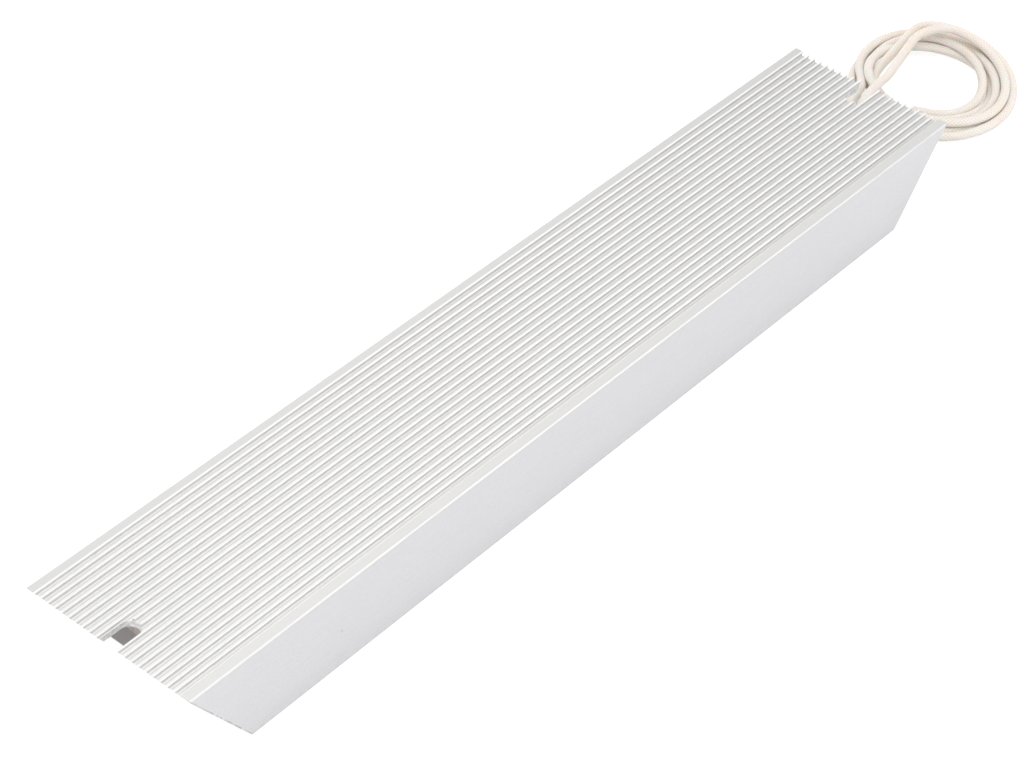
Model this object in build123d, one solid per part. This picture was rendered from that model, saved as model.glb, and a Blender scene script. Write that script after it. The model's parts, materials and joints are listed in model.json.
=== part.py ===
from build123d import *

import math
import os

# Braking resistor in a mitred aluminium housing: wirewound formers potted in an extruded, ribbed tube,
# with two braided leads that leave one end and lie coiled beside it.
# Frame: X along the housing, leads at +X; Y across it; Z up from the short wide face (Z = 0) to the
# long wide face, which carries the two screw notches. The origin is the middle of the housing's foot.

# ---- housing extrusion ----
long_face_length = 335.0
end_setback = 22.5          # how much shorter the lower face is at each end
housing_width = 59.0
housing_height = 30.0
side_wall = 2.6
plate_thickness = 3.0       # wide walls, measured over the ribs
outer_edge_radius = 0.5
cavity_corner_radius = 1.5

# ---- grooves of the two wide faces ----
groove_count = 21
groove_pitch = 2.52
groove_mouth = 1.9
groove_floor = 1.7
groove_depth = 1.0
rib_crest_bevel = 0.18

# ---- screw notches ----
notch_width = 6.2
notch_length = 11.4

# ---- potting ----
seal_recess = 4.0           # seal face to the lower face's end
seal_thickness = 8.0

# ---- resistance elements ----
former_diameter = 14.0
former_end_room = 8.0       # former's end to the seal, room for cap, tab and ferrule
former_spacing = 25.0       # centre to centre across the housing
winding_thickness = 0.8
winding_end_gap = 1.0       # bare ceramic beside each cap
cap_wall = 0.6
cap_length = 8.0
card_thickness = 2.0        # locating cards that centre the formers
card_inset = 3.0            # card to the cap's open rim
sheet_thickness = 0.5       # mica between the potting and the wide walls
sheet_side_margin = 1.0

# ---- internal connections ----
strap_width = 6.0
strap_thickness = 0.8
ferrule_diameter = 3.8
ferrule_length = 6.0
conductor_diameter = 1.8

# ---- leads ----
lead_diameter = 3.0
lead_pitch = 10.0           # between the two exits
tip_diameter = 1.7

# ---- coil of both leads, an oval ring lying on the surface beyond the lead end ----
coil_center = (220.0, 4.5)
coil_long_radius = 32.0
coil_short_radius = 28.0
coil_opening_long_radius = 18.5
coil_opening_short_radius = 14.5
coil_turned = 38.0          # degrees from X to the long radius
coil_height = 8.0

# ---- worked out ----
half_length = long_face_length / 2
foot_half_length = half_length - end_setback
cavity_width = housing_width - 2 * side_wall
cavity_height = housing_height - 2 * plate_thickness
mid_height = housing_height / 2
cavity_foot = plate_thickness
cavity_roof = housing_height - plate_thickness
seal_face = foot_half_length - seal_recess
fill_half_length = seal_face - seal_thickness
former_length = 2 * (fill_half_length - former_end_room)
element_y = former_spacing / 2
cap_outer_radius = former_diameter / 2 + cap_wall
cap_face = former_length / 2 + cap_wall
strap_face = cap_face + strap_thickness
ferrule_end = strap_face + ferrule_length
lead_y = lead_pitch / 2
SIDES = {"left": 1, "right": -1}
ENDS = {"near": -1, "far": 1}


def x_prism(section: Sketch, start: float, end: float) -> Part:
    """Extrude a section drawn in the YZ plane from one X to another."""
    return Pos(start, 0, 0) * extrude(Plane.YZ * section, end - start)


def x_rod(diameter: float, start: float, end: float, y: float) -> Part:
    """A round bar along X at the housing's middle height."""
    return x_prism(Pos(y, mid_height) * Circle(diameter / 2), start, end)


def groove_section() -> Sketch:
    """One groove, its mouth on the local X axis and its floor below it."""
    half_mouth = groove_mouth / 2
    half_floor = groove_floor / 2
    corners = [(-half_mouth, 0), (-half_floor, -groove_depth), (half_floor, -groove_depth), (half_mouth, 0)]
    return make_face(Polyline(*corners, close=True))


def cavity_section() -> Sketch:
    """The hollow of the extrusion, with rounded inner corners."""
    return Pos(0, mid_height) * RectangleRounded(cavity_width, cavity_height, cavity_corner_radius)


def mouth_corners(section: Sketch) -> list:
    """The corners of every groove's mouth, on both wide faces."""
    inner_width = housing_width - 2 * outer_edge_radius
    corners = []
    for corner in section.vertices():
        on_wide_face = min(abs(corner.Y), abs(corner.Y - housing_height)) < 1e-6
        if on_wide_face and abs(corner.X) < inner_width / 2 - 1e-6:
            corners.append(corner)
    return corners


def housing() -> Part:
    """Ribbed tube, sawn at a slant at both ends and notched for its screws."""
    section = Pos(0, mid_height) * RectangleRounded(housing_width, housing_height, outer_edge_radius)
    section -= cavity_section()
    first = -(groove_count - 1) / 2 * groove_pitch
    for index in range(groove_count):
        y = first + index * groove_pitch
        section -= Pos(y, housing_height) * groove_section()
        section -= Pos(y, 0) * Rot(0, 0, 180) * groove_section()
    tube = x_prism(chamfer(mouth_corners(section), rib_crest_bevel), -half_length, half_length)

    side_view = Polyline(
        (-half_length, housing_height),
        (half_length, housing_height),
        (foot_half_length, 0),
        (-foot_half_length, 0),
        close=True,
    )
    body = tube & extrude(Plane.XZ * make_face(side_view), housing_width / 2, both=True)

    for end in ENDS.values():
        inner_end = end * (half_length - notch_length + notch_width / 2)
        mouth = end * (half_length + notch_width)
        outline = Pos((inner_end + mouth) / 2, 0) * Rectangle(abs(mouth - inner_end), notch_width)
        outline += Pos(inner_end, 0) * Circle(notch_width / 2)
        body -= Pos(0, 0, cavity_roof - 1) * extrude(outline, plate_thickness + 2)
    return body


def former(side: int) -> Part:
    """Ceramic rod that carries one winding."""
    return x_rod(former_diameter, -former_length / 2, former_length / 2, side * element_y)


def winding(side: int) -> Part:
    """Close-wound resistance wire, taken as one sleeve between the caps."""
    half = former_length / 2 - cap_length - winding_end_gap
    outer = x_rod(former_diameter + 2 * winding_thickness, -half, half, side * element_y)
    return outer - x_rod(former_diameter, -half, half, side * element_y)


def cap(side: int, end: int) -> Part:
    """Pressed steel cap on a former's end; the far ones carry a tab towards the leads."""
    y = side * element_y
    rim = former_length / 2 - cap_length
    shell = x_rod(2 * cap_outer_radius, end * rim, end * cap_face, y)
    shell -= x_rod(former_diameter, end * rim, end * former_length / 2, y)
    if end > 0:
        shell += tab(side)
    return shell


def tab(side: int) -> Part:
    """Flat tongue on a far cap's face, rounded at the lead's end."""
    reach = element_y - lead_y
    bar = Pos(side * (element_y + lead_y) / 2, mid_height) * Rectangle(reach, strap_width)
    bar += Pos(side * lead_y, mid_height) * Circle(strap_width / 2)
    return x_prism(bar, cap_face, strap_face)


def link_strap() -> Part:
    """Strip welded across both near caps, which puts the two windings in series."""
    bar = Pos(0, mid_height) * SlotCenterToCenter(former_spacing, strap_width)
    return x_prism(bar, -strap_face, -cap_face)


def ferrule(side: int) -> Part:
    """Crimp sleeve that joins a lead's conductor to its tab."""
    sleeve = x_rod(ferrule_diameter, strap_face, ferrule_end, side * lead_y)
    return sleeve - x_rod(conductor_diameter, strap_face, ferrule_end, side * lead_y)


def lead_root(side: int) -> Part:
    """The potted stretch of a lead: bare in its ferrule, insulated from there to the seal's face."""
    core = x_rod(conductor_diameter, strap_face, ferrule_end, side * lead_y)
    return core + x_rod(lead_diameter, ferrule_end, seal_face, side * lead_y)


def insulation_sheet(level: float) -> Part:
    """Mica sheet, its lower face at the given height."""
    width = cavity_width - 2 * (cavity_corner_radius + sheet_side_margin)
    strip = Pos(0, level + sheet_thickness / 2) * Rectangle(width, sheet_thickness)
    return x_prism(strip, -fill_half_length, fill_half_length)


def locating_card(end: int) -> Part:
    """Card that fits the cavity and holds both caps of one end in its square holes."""
    room = cavity_height - 2 * sheet_thickness
    plate = Pos(0, mid_height) * Rectangle(cavity_width - 2 * cavity_corner_radius, room)
    for side in SIDES.values():
        plate -= Pos(side * element_y, mid_height) * Rectangle(2 * cap_outer_radius, 2 * cap_outer_radius)
    start = former_length / 2 - cap_length + card_inset
    return x_prism(plate, end * start, end * (start + card_thickness))


def seal(end: int) -> Part:
    """Cement plug that closes one end of the cavity; the far one is cast round both leads."""
    plug = x_prism(cavity_section(), end * fill_half_length, end * seal_face)
    if end > 0:
        for side in SIDES.values():
            plug -= x_rod(lead_diameter, fill_half_length, seal_face, side * lead_y)
    return plug


def filler(held: list) -> Part:
    """Packed quartz filling: the cavity between the seals, less each element's pocket and all else it holds."""
    block = x_prism(cavity_section(), -fill_half_length, fill_half_length)
    for side in SIDES.values():
        block -= x_rod(former_diameter + 2 * winding_thickness, -cap_face, cap_face, side * element_y)
        block -= x_rod(ferrule_diameter, strap_face, fill_half_length, side * lead_y)
    for piece in held:
        block -= piece
    return block


def corner_radii(points: list) -> list:
    """Arc radius for each inner point of a route: 0.45 of its shorter run over the half-turn's tangent."""
    radii = []
    for before, here, after in zip(points, points[1:], points[2:]):
        run_in = Vector(*here) - Vector(*before)
        run_out = Vector(*after) - Vector(*here)
        half_turn = math.radians(run_in.get_angle(run_out) / 2)
        radii.append(0.45 * min(run_in.length, run_out.length) / math.tan(half_turn))
    return radii


def lead_tube(points: list, label: str) -> Part:
    """Round tube along straight runs joined by tangent arcs."""
    radii = corner_radii(points)
    path = FilletPolyline(*points, radius=radii)
    start = Plane(origin=path @ 0, z_dir=path % 0)
    tube = sweep(start * Circle(lead_diameter / 2), path=path)
    expected = math.pi * lead_diameter**2 / 4 * path.length
    print(f"{label}: length {path.length:.1f}, volume / (section x length) {tube.volume / expected:.4f}")
    print(f"{label}: arc radii", [round(radius, 1) for radius in radii])
    return tube


def coil() -> Part:
    """Outer shape of the coiled leads: a low oval ring."""
    outline = Ellipse(coil_long_radius, coil_short_radius)
    outline -= Ellipse(coil_opening_long_radius, coil_opening_short_radius)
    return Pos(*coil_center, 0) * Rot(0, 0, coil_turned) * extrude(outline, coil_height)


def straight_tube(diameter: float, start: tuple, end: tuple) -> Part:
    """Round bar from one point to another."""
    span = Vector(*end) - Vector(*start)
    return extrude(Plane(origin=start, z_dir=span) * Circle(diameter / 2), span.length)


# ---- lead routes from the seal into the coil, and the tips that leave the coil ----
run_points = {
    "left": [(seal_face, lead_y, mid_height), (174.5, lead_y, mid_height), (203, 19.5, 5.8)],
    "right": [(seal_face, -lead_y, mid_height), (174.5, -lead_y, mid_height), (201.5, 11.5, 5.8)],
}
tip_points = {
    "left": [(199, 4, 1.6), (186.5, 17, 1.6)],
    "right": [(203, -8, 1.6), (183.5, 4, 1.6)],
}


def main() -> None:
    """Build every piece and write one STEP file for each."""
    nodes = {"housing": housing()}
    for side_name, side in SIDES.items():
        nodes[f"former_{side_name}"] = former(side)
        nodes[f"winding_{side_name}"] = winding(side)
        for end_name, end in ENDS.items():
            nodes[f"cap_{side_name}_{end_name}"] = cap(side, end)
        nodes[f"ferrule_{side_name}"] = ferrule(side)
        nodes[f"lead_root_{side_name}"] = lead_root(side)
    nodes["link_strap"] = link_strap()
    for end_name, end in ENDS.items():
        nodes[f"locating_card_{end_name}"] = locating_card(end)
    nodes["insulation_sheet_lower"] = insulation_sheet(cavity_foot)
    nodes["insulation_sheet_upper"] = insulation_sheet(cavity_roof - sheet_thickness)
    in_pockets = ("housing", "former", "winding", "cap", "ferrule", "lead_root")
    held = [piece for name, piece in nodes.items() if not name.startswith(in_pockets)]
    nodes["quartz_filler"] = filler(held + [tab(side) for side in SIDES.values()])
    for end_name, end in ENDS.items():
        nodes[f"cement_seal_{end_name}"] = seal(end)

    ring = coil()
    nodes["lead_coil"] = ring
    for side_name in SIDES:
        run = lead_tube(run_points[side_name], f"lead_run_{side_name}")
        nodes[f"lead_run_{side_name}"] = run - ring
        nodes[f"lead_tip_{side_name}"] = straight_tube(tip_diameter, *tip_points[side_name]) - ring

    os.makedirs("parts", exist_ok=True)
    for name, piece in nodes.items():
        export_step(piece, f"parts/{name}.step")


main()
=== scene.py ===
"""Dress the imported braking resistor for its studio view.

The frame holds the resistor at its real size. This script adds what the frame leaves plain: two braided
leads in their loose coil, hand-trowelled cement in both mouths, wound resistance wire, and a finish for
every part.
"""

import json
import logging
import math
from dataclasses import dataclass, field
from enum import Enum

import bmesh
import bpy
import numpy as np
from mathutils import Matrix, Vector, noise

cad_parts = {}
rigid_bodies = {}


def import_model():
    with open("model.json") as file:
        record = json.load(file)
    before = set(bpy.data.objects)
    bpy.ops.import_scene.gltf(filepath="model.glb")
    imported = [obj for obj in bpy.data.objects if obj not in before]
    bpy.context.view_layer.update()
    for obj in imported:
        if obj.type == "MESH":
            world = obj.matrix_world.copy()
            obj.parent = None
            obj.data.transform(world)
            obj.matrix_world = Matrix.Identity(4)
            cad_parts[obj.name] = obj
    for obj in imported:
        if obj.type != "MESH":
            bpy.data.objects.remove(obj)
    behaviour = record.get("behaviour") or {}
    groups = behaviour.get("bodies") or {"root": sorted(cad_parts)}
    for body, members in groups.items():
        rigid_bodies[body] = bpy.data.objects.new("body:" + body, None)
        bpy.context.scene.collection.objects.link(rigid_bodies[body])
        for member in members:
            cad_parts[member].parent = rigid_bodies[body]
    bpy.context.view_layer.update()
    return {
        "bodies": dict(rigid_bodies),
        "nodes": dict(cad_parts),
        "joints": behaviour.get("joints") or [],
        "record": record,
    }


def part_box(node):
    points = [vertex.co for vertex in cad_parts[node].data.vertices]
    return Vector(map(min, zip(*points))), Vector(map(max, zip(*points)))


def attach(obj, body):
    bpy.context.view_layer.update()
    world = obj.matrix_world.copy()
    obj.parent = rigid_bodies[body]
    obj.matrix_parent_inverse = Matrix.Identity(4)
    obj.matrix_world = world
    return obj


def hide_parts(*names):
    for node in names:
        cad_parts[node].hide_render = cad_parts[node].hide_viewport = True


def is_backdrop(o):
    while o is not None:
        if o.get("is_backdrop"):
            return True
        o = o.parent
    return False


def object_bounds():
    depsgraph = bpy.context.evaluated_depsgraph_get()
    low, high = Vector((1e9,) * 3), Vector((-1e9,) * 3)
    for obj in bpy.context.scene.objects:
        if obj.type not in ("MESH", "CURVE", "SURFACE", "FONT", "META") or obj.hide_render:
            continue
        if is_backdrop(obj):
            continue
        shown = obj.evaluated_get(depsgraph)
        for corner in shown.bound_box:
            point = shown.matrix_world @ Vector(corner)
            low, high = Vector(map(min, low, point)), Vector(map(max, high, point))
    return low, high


LOG = logging.getLogger("resistor")
BODY = "root"
# Marks on the housing's faces: the first is a share of rubbing and painted highlight, and dull a share of
# painted shade.
HOUSING_MARKS = ("wear", "sawn", "milled", "dull", "groove")
# Lengths in metres: a millimetre, and how near two points are to be merged on a part and along a made seam.
MM = 0.001
WELD = 1e-6
SEAM = 1e-7
# A quarter turn in degrees, a full turn in radians, and a number too small to matter.
QUARTER = 90
FULL_TURN = 2 * math.pi
TINY = 1e-9
Point = tuple[float, float, float]
Socket = bpy.types.NodeSocket
Value = float | Socket
Shade = Point | Socket


# ------------------------------------------------------------------------------------------------ tools


class Labelled(Enum):
    """Options whose names stand in the names of nodes."""

    @property
    def label(self) -> str:
        """The option's name in node names."""
        return self.name.lower()


class Side(Labelled):
    """The two leads and elements, by the sign of their Y."""

    LEFT = 1
    RIGHT = -1


class End(Labelled):
    """The two ends of the housing, by the sign of their X."""

    NEAR = -1
    FAR = 1


class Tree:
    """A node tree, with short calls for the nodes that shapes and finishes share."""

    def __init__(self, tree: bpy.types.NodeTree) -> None:
        """Take up a tree."""
        self.tree = tree

    def fill(self, node: bpy.types.Node, inputs: dict) -> None:
        """Set or link a node's inputs.

        Args:
            node: The node.
            inputs: Values or output sockets, by input name or index.
        """
        for key, value in inputs.items():
            if isinstance(value, Socket):
                self.tree.links.new(value, node.inputs[key])
            else:
                node.inputs[key].default_value = value

    def node(self, kind: str, inputs: dict | None = None, **settings: object) -> bpy.types.Node:
        """Add a node.

        Args:
            kind: The node's type name.
            inputs: Values or output sockets, by input name or index.
            **settings: Properties of the node.

        Returns:
            The new node.
        """
        node = self.tree.nodes.new(kind)
        for key, value in settings.items():
            setattr(node, key, value)
        self.fill(node, inputs or {})
        return node

    def result(self, kind: str, inputs: dict | None = None, **settings: object) -> Socket:
        """Add a node as node() does, and take its first output."""
        return self.node(kind, inputs, **settings).outputs[0]

    def math(self, operation: str, *values: Value) -> Socket:
        """One Math node's result."""
        return self.result("ShaderNodeMath", dict(enumerate(values)), operation=operation)

    def plus(self, first: Value, second: Value) -> Socket:
        """The sum of two values."""
        return self.math("ADD", first, second)

    def minus(self, first: Value, second: Value) -> Socket:
        """The first value less the second."""
        return self.math("SUBTRACT", first, second)

    def times(self, first: Value, second: Value) -> Socket:
        """The product of two values."""
        return self.math("MULTIPLY", first, second)

    def split(self, vector: Socket) -> tuple[Socket, Socket, Socket]:
        """A vector's X, Y and Z."""
        return tuple(self.node("ShaderNodeSeparateXYZ", {0: vector}).outputs)

    def span(self, share: Socket, low: Value, high: Value) -> Socket:
        """The value that stands at a share of the way from one value to another."""
        return self.result("ShaderNodeMapRange", {"Value": share, "To Min": low, "To Max": high})

    def plait(self, right: Socket, left: Socket) -> tuple[Socket, Socket]:
        """Two sets of yarns that cross, each over one and under the next.

        Args:
            right: Place across the yarns that lean to the right, 1 for each yarn.
            left: Place across the yarns that lean to the left.

        Returns:
            1 where a right-hand yarn is on top and 0 elsewhere, and how high the upper yarn stands, 0 to 1.
        """
        waves = [self.math("SINE", self.times(way, math.pi)) for way in (right, left)]
        crowns = [self.math("ABSOLUTE", wave) for wave in waves]
        cells = self.plus(self.math("FLOOR", right), self.math("FLOOR", left))
        over = self.math("GREATER_THAN", self.math("FLOORED_MODULO", cells, 2), 0.5)
        return over, self.plus(self.times(crowns[0], over), self.times(crowns[1], self.minus(1, over)))


class ShaderTree(Tree):
    """A material's node tree about one Principled shader."""

    def __init__(self, name: str) -> None:
        """Start a material.

        Args:
            name: The material's name.
        """
        self.material = bpy.data.materials.new(name)
        self.material.use_nodes = True
        super().__init__(self.material.node_tree)
        self.surface = self.tree.nodes["Principled BSDF"]

    def place(self, scale: Point = (1, 1, 1), turn: Point = (0, 0, 0)) -> Socket:
        """Object coordinates, scaled along each axis and turned by angles in radians."""
        source = self.node("ShaderNodeTexCoord").outputs["Object"]
        return self.result("ShaderNodeMapping", {"Vector": source, "Scale": scale, "Rotation": turn})

    def noise(self, scale: float, detail: float = 3, stretch: Point = (1, 1, 1)) -> Socket:
        """Fractal noise.

        Args:
            scale: Cells per metre.
            detail: Octaves.
            stretch: Factor on the coordinate of each axis; the noise is drawn out where it is under 1.

        Returns:
            The noise's value, about 0.5 on average.
        """
        inputs = {"Vector": self.place(stretch), "Scale": scale, "Detail": detail}
        return self.result("ShaderNodeTexNoise", inputs)

    def cells(self, scale: float, stretch: Point = (1, 1, 1)) -> tuple[Socket, tuple]:
        """Irregular cells.

        Args:
            scale: Cells per metre.
            stretch: Factor on the coordinate of each axis.

        Returns:
            How far it is to the cell's middle, and three random numbers for each cell.
        """
        found = self.node("ShaderNodeTexVoronoi", {"Vector": self.place(stretch), "Scale": scale}).outputs
        return found["Distance"], self.split(found["Color"])

    def holes(self, scale: float, rarity: float, reach: float) -> Socket:
        """Round holes of many sizes.

        Args:
            scale: Places for one on each metre.
            rarity: How much fewer the large ones are.
            reach: The largest one's radius, as a part of a place.

        Returns:
            1 in a hole and 0 elsewhere.
        """
        distance, (chance, _, _) = self.cells(scale)
        return self.math("LESS_THAN", distance, self.times(self.math("POWER", chance, rarity), reach))

    def both(self, first: Socket, second: Socket, share: float) -> Socket:
        """The sum of a share of one value and the rest of another."""
        return self.plus(self.times(first, share), self.times(second, 1 - share))

    def ramp(self, value: Socket, *stops: tuple[float, Point]) -> Socket:
        """Map a value to a colour.

        Args:
            value: What is mapped.
            *stops: Pairs of position and RGB colour, two or more.

        Returns:
            The colour output.
        """
        node = self.node("ShaderNodeValToRGB", {"Fac": value})
        elements = node.color_ramp.elements
        while len(elements) < len(stops):
            elements.new(0.5)
        for element, (position, color) in zip(elements, stops):
            element.position = position
            element.color = (*color, 1)
        return node.outputs["Color"]

    def mask(self, value: Socket, *stops: tuple[float, float]) -> Socket:
        """Map a value to a share, by pairs of position and share."""
        return self.ramp(value, *[(position, (share,) * 3) for position, share in stops])

    def mix(self, share: Socket, first: Shade, second: Shade) -> Socket:
        """Blend two colours.

        Args:
            share: How much of the second, 0 to 1.
            first: An RGB colour or a socket.
            second: An RGB colour or a socket.

        Returns:
            The colour output.
        """
        low, high = ((*shade, 1) if isinstance(shade, tuple) else shade for shade in (first, second))
        return self.node("ShaderNodeMix", {"Factor": share, 6: low, 7: high}, data_type="RGBA").outputs[2]

    def attribute(self, name: str) -> Socket:
        """A number that the mesh carries on its faces."""
        return self.node("ShaderNodeAttribute", attribute_name=name).outputs["Fac"]

    def drive(self, inputs: dict) -> None:
        """Set or link inputs of the surface shader, by their names."""
        self.fill(self.surface, inputs)

    def bump(self, *layers: tuple[Socket, float]) -> None:
        """Raise the surface by several heights, each on the one before.

        Args:
            *layers: Pairs of height and the distance in metres that a height of 1 stands for.
        """
        normal = {}
        for height, distance in layers:
            inputs = {"Height": height, "Distance": distance, "Strength": 1.0, **normal}
            normal = {"Normal": self.result("ShaderNodeBump", inputs)}
        self.drive(normal)


def shaded(color: Point, factor: float) -> Point:
    """A colour made darker, or paler up to white."""
    return tuple(min(part * factor, 1) for part in color)


def new_object(name: str, data: bpy.types.ID) -> bpy.types.Object:
    """Put a mesh, a curve, a lamp or a camera into the scene at the origin.

    Args:
        name: The object's name.
        data: What the object shows.

    Returns:
        The object.
    """
    piece = bpy.data.objects.new(name, data)
    bpy.context.scene.collection.objects.link(piece)
    return piece


def shaped_object(name: str, shape: bmesh.types.BMesh, sharpest: float) -> bpy.types.Object:
    """Put a shape into the scene, smooth up to an angle.

    Args:
        name: The object's name.
        shape: The shape, which is freed.
        sharpest: Degrees past which an edge looks sharp.

    Returns:
        The object.
    """
    mesh = bpy.data.meshes.new(name)
    shape.to_mesh(mesh)
    shape.free()
    mesh.shade_smooth()
    mesh.set_sharp_from_angle(angle=math.radians(sharpest))
    return new_object(name, mesh)


def dress(piece: bpy.types.Object, material: bpy.types.Material) -> None:
    """Give a whole object one material."""
    piece.data.materials.clear()
    piece.data.materials.append(material)


def report(piece: bpy.types.Object) -> None:
    """Log a finished piece."""
    LOG.info("%s: %d faces", piece.name, len(piece.data.polygons))


def evaluated_mesh(piece: bpy.types.Object) -> bpy.types.Mesh:
    """Take a plain mesh of an object as its modifiers leave it.

    Args:
        piece: The object.

    Returns:
        The new mesh.
    """
    graph = bpy.context.evaluated_depsgraph_get()
    graph.update()
    return bpy.data.meshes.new_from_object(piece.evaluated_get(graph), depsgraph=graph)


def spline_object(name: str, points: list, steps: int = 10) -> bpy.types.Object:
    """A smooth line with no thickness, quadratic between its control points.

    Args:
        name: The object's name.
        points: Its control points, in metres.
        steps: Straight stretches for each control point.

    Returns:
        The curve object.
    """
    curve = bpy.data.curves.new(name, "CURVE")
    curve.dimensions = "3D"
    curve.resolution_u = steps
    spline = curve.splines.new("NURBS")
    spline.points.add(len(points) - 1)
    for point, place in zip(spline.points, points):
        point.co = (*place, 1)
    spline.order_u = 3
    spline.use_endpoint_u = True
    return new_object(name, curve)


class ShapeTree(Tree):
    """A Geometry Nodes tree with named inputs, whose fields hold the sizes that stay the same."""

    name: str

    def open(self, **inputs: str) -> None:
        """Start the tree.

        Args:
            **inputs: Names of the inputs after the geometry, with commas between, by their kind of socket.
        """
        self.tree = bpy.data.node_groups.new(self.name, "GeometryNodeTree")
        self.tree.interface.new_socket("Geometry", in_out="INPUT", socket_type="NodeSocketGeometry")
        for kind, names in inputs.items():
            for name in names.split(", "):
                self.tree.interface.new_socket(name, in_out="INPUT", socket_type=f"NodeSocket{kind}")
        self.tree.interface.new_socket("Geometry", in_out="OUTPUT", socket_type="NodeSocketGeometry")
        self.given = self.node("NodeGroupInput").outputs

    def stepped(self) -> Socket:
        """The curve that goes in, with a point at each step."""
        inputs = {"Curve": self.given["Geometry"], "Length": self.given["Step"]}
        return self.result("GeometryNodeResampleCurve", inputs, mode="LENGTH")

    def ring(self, radius: Socket) -> Socket:
        """A round wire's outline."""
        inputs = {"Resolution": self.given["Sides"], "Radius": radius}
        return self.result("GeometryNodeCurvePrimitiveCircle", inputs)

    def swept(self, curve: Socket, outline: Socket, capped: bool = True) -> Socket:
        """An outline drawn along a curve."""
        inputs = {"Curve": curve, "Profile Curve": outline, "Fill Caps": capped}
        return self.result("GeometryNodeCurveToMesh", inputs)

    def capture(self, shape: Socket, name: str, value: Socket) -> tuple[Socket, Socket]:
        """Keep a number on each point of a shape, for what is made of it.

        Args:
            shape: The geometry.
            name: What the number is called.
            value: The number at each point.

        Returns:
            The geometry and the kept number.
        """
        node = self.node("GeometryNodeCaptureAttribute", {"Geometry": shape})
        node.capture_items.new("FLOAT", name)
        self.fill(node, {name: value})
        return node.outputs["Geometry"], node.outputs[name]

    def close(self, shape: Socket) -> None:
        """Smooth the shape, realize it, dress it with the input "Finish" and hand it out.

        Args:
            shape: The geometry.
        """
        smooth = self.result("GeometryNodeSetShadeSmooth", {"Geometry": shape})
        real = self.result("GeometryNodeRealizeInstances", {"Geometry": smooth})
        inputs = {"Geometry": real, "Material": self.given["Finish"]}
        self.node("NodeGroupOutput", {"Geometry": self.result("GeometryNodeSetMaterial", inputs)})

    def make(self, holder: bpy.types.Object, **values: object) -> bpy.types.Mesh:
        """Run the tree on an object, keep the result as a plain closed mesh and remove the object.

        Args:
            holder: The object whose geometry goes in.
            **values: The inputs that aren't fields, by their names in small letters with low lines.

        Returns:
            The mesh.
        """
        modifier = holder.modifiers.new(self.name, "NODES")
        modifier.node_group = self.tree
        values = {**vars(self), **values}
        for item in self.tree.interface.items_tree:
            value = values.get(item.name.lower().replace(" ", "_"))
            if item.in_out == "INPUT" and value is not None:
                modifier[item.identifier] = value
        mesh = evaluated_mesh(holder)
        bpy.data.objects.remove(holder)
        shape = bmesh.new()
        shape.from_mesh(mesh)
        bmesh.ops.remove_doubles(shape, verts=shape.verts, dist=SEAM)
        bmesh.ops.holes_fill(shape, edges=shape.edges[:], sides=0)
        bmesh.ops.recalc_face_normals(shape, faces=shape.faces[:])
        shape.to_mesh(mesh)
        shape.free()
        return mesh


# ------------------------------------------------------------------------------------------------ leads


@dataclass
class LooseCoil:
    """Turns of one lead about the coil's middle, set at each quarter turn and rounded between.

    Radii and heights are in millimetres, the first at first_mark and each next one a quarter turn clockwise.
    """

    start_angle: float
    end_angle: float
    radii: list[float]
    heights: list[float]
    middle: tuple[float, float] = (219.0, 5.0)
    mark_offset: float = 60.0
    points_per_turn: int = 14

    @property
    def first_mark(self) -> float:
        """The angle of the first set values: the quarter mark at or before the start."""
        return math.ceil((self.start_angle - self.mark_offset) / QUARTER) * QUARTER + self.mark_offset

    def between(self, values: list[float], angle: float) -> float:
        """A smooth value at an angle, through the values at the quarter turns.

        Args:
            values: Radii or heights.
            angle: Degrees, falling along the lead.

        Returns:
            The value there.
        """
        place = (self.first_mark - angle) / QUARTER
        index = min(max(int(place), 0), len(values) - 2)
        part = place - index
        near, far = values[index], values[index + 1]
        before = values[index - 1] if index else 2 * near - far
        after = values[index + 2] if index + 2 < len(values) else 2 * far - near
        bend = 2 * before - 5 * near + 4 * far - after
        twist = 3 * near - before - 3 * far + after
        return near + part * (far - before + part * (bend + part * twist)) / 2

    def points(self) -> list[Point]:
        """Work out the turns' control points.

        Returns:
            The points, in millimetres.
        """
        count = round((self.start_angle - self.end_angle) * self.points_per_turn / (4 * QUARTER))
        turns = []
        for step in range(count + 1):
            angle = self.start_angle + (self.end_angle - self.start_angle) * step / count
            radius = self.between(self.radii, angle)
            turn = math.radians(angle)
            x = self.middle[0] + radius * math.cos(turn)
            y = self.middle[1] + radius * math.sin(turn)
            turns.append((x, y, self.between(self.heights, angle)))
        return turns


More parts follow.
